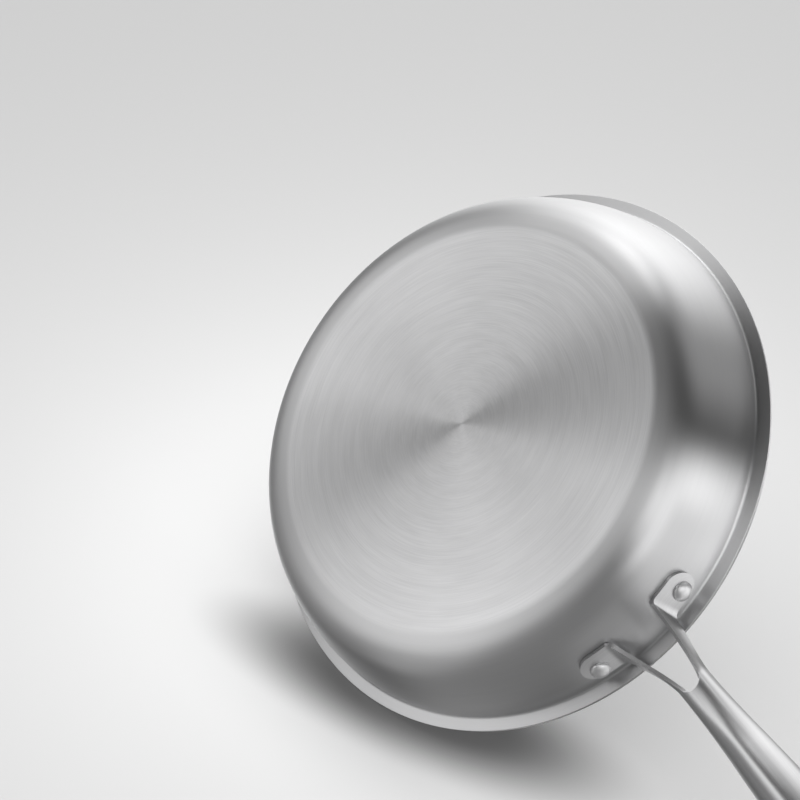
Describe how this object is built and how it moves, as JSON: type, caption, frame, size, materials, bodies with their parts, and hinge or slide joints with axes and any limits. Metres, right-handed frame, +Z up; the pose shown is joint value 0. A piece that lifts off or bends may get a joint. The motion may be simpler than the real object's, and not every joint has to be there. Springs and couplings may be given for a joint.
{
  "type": "frying pan",
  "caption": "Round clad stainless frying pan with a flat base, curved wall, flared pouring lip and a forked channel handle riveted to the wall, with a hanging hole at its end.",
  "frame": {"origin": "centre of the underside of the flat base, on the worktop", "axes": "+Z up out of the pan, +X along the handle away from the bowl, +Y across the handle, square to both"},
  "size_m": [0.5072, 0.3038, 0.0786],
  "materials": {
    "outer_steel": "satin wall, circular brushed base",
    "core_aluminium": "ground at the rim, bonded elsewhere",
    "inner_steel": "circular brushed",
    "handle_steel": "brushed along its length",
    "rivet_steel": "bright satin"
  },
  "bodies": {
    "root": {"outer_shell": "outer_steel", "aluminium_core": "core_aluminium", "cooking_liner": "inner_steel", "handle": "handle_steel", "rivet_left": "rivet_steel", "rivet_right": "rivet_steel"}
  },
  "joints": []
}
